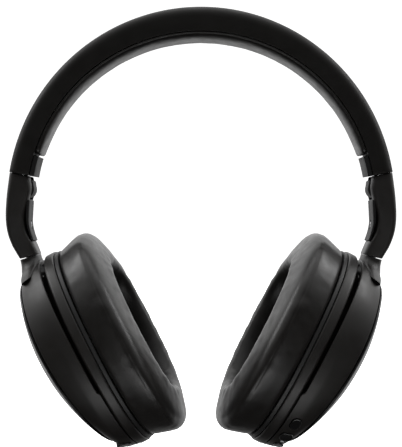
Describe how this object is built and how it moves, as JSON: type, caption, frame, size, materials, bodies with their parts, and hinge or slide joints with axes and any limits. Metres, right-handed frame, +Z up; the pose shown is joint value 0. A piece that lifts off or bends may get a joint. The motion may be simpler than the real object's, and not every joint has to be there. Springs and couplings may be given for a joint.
{
  "type": "over ear headphones",
  "caption": "Wireless over-ear headphones with an arched padded headband, sliding and folding arms, swivelling tapered shells and tilted oval ear pads.",
  "frame": {"origin": "middle of the flat strip under the crown of the headband cushion", "axes": "+X from the left side to the right side as seen from the front, +Y from front to back, +Z up"},
  "size_m": [0.1806, 0.0818, 0.2037],
  "materials": {
    "shell_plastic": "soft satin black with a very fine grain",
    "cap_plastic": "smooth satin black",
    "gloss_plastic": "glossy black",
    "leatherette": "soft black synthetic leather",
    "inner_plastic": "plain dark grey moulding",
    "scrim_cloth": "fine black open mesh",
    "steel": "plain steel",
    "circuit_board": "green solder mask",
    "battery_foil": "smooth pouch foil",
    "diaphragm_film": "thin satin film",
    "light_pipe": "frosted light pipe"
  },
  "bodies": {
    "headband": {"headband_shell": "shell_plastic", "headband_cushion": "leatherette", "cushion_base": "inner_plastic", "headband_spring": "steel", "link_wire": "inner_plastic", "end_sleeve_left": "shell_plastic", "end_sleeve_right": "shell_plastic", "detent_spring_left": "steel", "detent_spring_right": "steel"},
    "slider_left": {"slider_strip_left": "steel", "hinge_knuckle_left": "gloss_plastic"},
    "arm_left": {"arm_cover_left": "shell_plastic", "arm_liner_left": "inner_plastic", "fold_pin_left": "steel", "arm_screw_left": "steel", "swivel_shaft_left": "steel", "shaft_clip_left": "steel"},
    "shell_left": {"outer_shell_left": "shell_plastic", "outer_cap_left": "cap_plastic", "chassis_plate_left": "inner_plastic", "tilt_pin_front_left": "steel", "tilt_pin_rear_left": "steel", "battery": "battery_foil", "charge_port": "steel"},
    "cup_left": {"cup_housing_left": "shell_plastic", "baffle_left": "inner_plastic", "driver_frame_left": "inner_plastic", "driver_magnet_left": "steel", "diaphragm_left": "diaphragm_film", "pad_carrier_left": "inner_plastic", "ear_pad_left": "leatherette", "pad_scrim_left": "scrim_cloth"},
    "slider_right": {"slider_strip_right": "steel", "hinge_knuckle_right": "gloss_plastic"},
    "arm_right": {"arm_cover_right": "shell_plastic", "arm_liner_right": "inner_plastic", "fold_pin_right": "steel", "arm_screw_right": "steel", "swivel_shaft_right": "steel", "shaft_clip_right": "steel"},
    "shell_right": {"outer_shell_right": "shell_plastic", "outer_cap_right": "cap_plastic", "chassis_plate_right": "inner_plastic", "tilt_pin_front_right": "steel", "tilt_pin_rear_right": "steel", "circuit_board": "circuit_board", "status_light": "light_pipe"},
    "cup_right": {"cup_housing_right": "shell_plastic", "baffle_right": "inner_plastic", "driver_frame_right": "inner_plastic", "driver_magnet_right": "steel", "diaphragm_right": "diaphragm_film", "pad_carrier_right": "inner_plastic", "ear_pad_right": "leatherette", "pad_scrim_right": "scrim_cloth"},
    "function_button": {"function_button": "gloss_plastic"},
    "power_button": {"power_button": "gloss_plastic"},
    "volume_up_button": {"volume_up_button": "gloss_plastic"},
    "volume_down_button": {"volume_down_button": "gloss_plastic"}
  },
  "joints": [
    {"name": "size_slide_left", "type": "slide", "parent": "headband", "child": "slider_left", "axis": [-0.26, 0, -0.9656], "range_m": [0, 0.025]},
    {"name": "fold_left", "type": "hinge", "parent": "slider_left", "child": "arm_left", "pos_m": [-0.0816, 0, -0.0681], "axis": [0, -1, 0], "range_deg": [0, 80]},
    {"name": "swivel_left", "type": "hinge", "parent": "arm_left", "child": "shell_left", "pos_m": [-0.0792, 0, -0.0996], "axis": [-0.2368, 0, 0.9715], "range_deg": [-85, 15]},
    {"name": "tilt_left", "type": "hinge", "parent": "shell_left", "child": "cup_left", "pos_m": [-0.04284, -0.00175, -0.16427], "axis": [0.0847, 0.9962, 0.0206], "range_deg": [-1.5, 0]},
    {"name": "size_slide_right", "type": "slide", "parent": "headband", "child": "slider_right", "axis": [0.26, 0, -0.9656], "range_m": [0, 0.025]},
    {"name": "fold_right", "type": "hinge", "parent": "slider_right", "child": "arm_right", "pos_m": [0.0816, 0, -0.0681], "axis": [0, -1, 0], "range_deg": [-80, 0]},
    {"name": "swivel_right", "type": "hinge", "parent": "arm_right", "child": "shell_right", "pos_m": [0.0792, 0, -0.0996], "axis": [0.2368, 0, 0.9715], "range_deg": [-15, 85]},
    {"name": "tilt_right", "type": "hinge", "parent": "shell_right", "child": "cup_right", "pos_m": [0.04284, -0.00175, -0.16427], "axis": [-0.0847, 0.9962, 0.0206], "range_deg": [0, 1.5]},
    {"name": "function_press", "type": "slide", "parent": "shell_left", "child": "function_button", "axis": [-0.1847, 0.3529, 0.9172], "range_m": [0, 0.0006], "stiffness_N_per_m": 500},
    {"name": "power_press", "type": "slide", "parent": "shell_right", "child": "power_button", "axis": [0.0851, 0.6265, 0.7748], "range_m": [0, 0.0006], "stiffness_N_per_m": 500},
    {"name": "volume_up_press", "type": "slide", "parent": "shell_right", "child": "volume_up_button", "axis": [-0.0245, 0.8035, 0.5948], "range_m": [0, 0.0006], "stiffness_N_per_m": 500},
    {"name": "volume_down_press", "type": "slide", "parent": "shell_right", "child": "volume_down_button", "axis": [0.1796, 0.3715, 0.9109], "range_m": [0, 0.0006], "stiffness_N_per_m": 500}
  ]
}
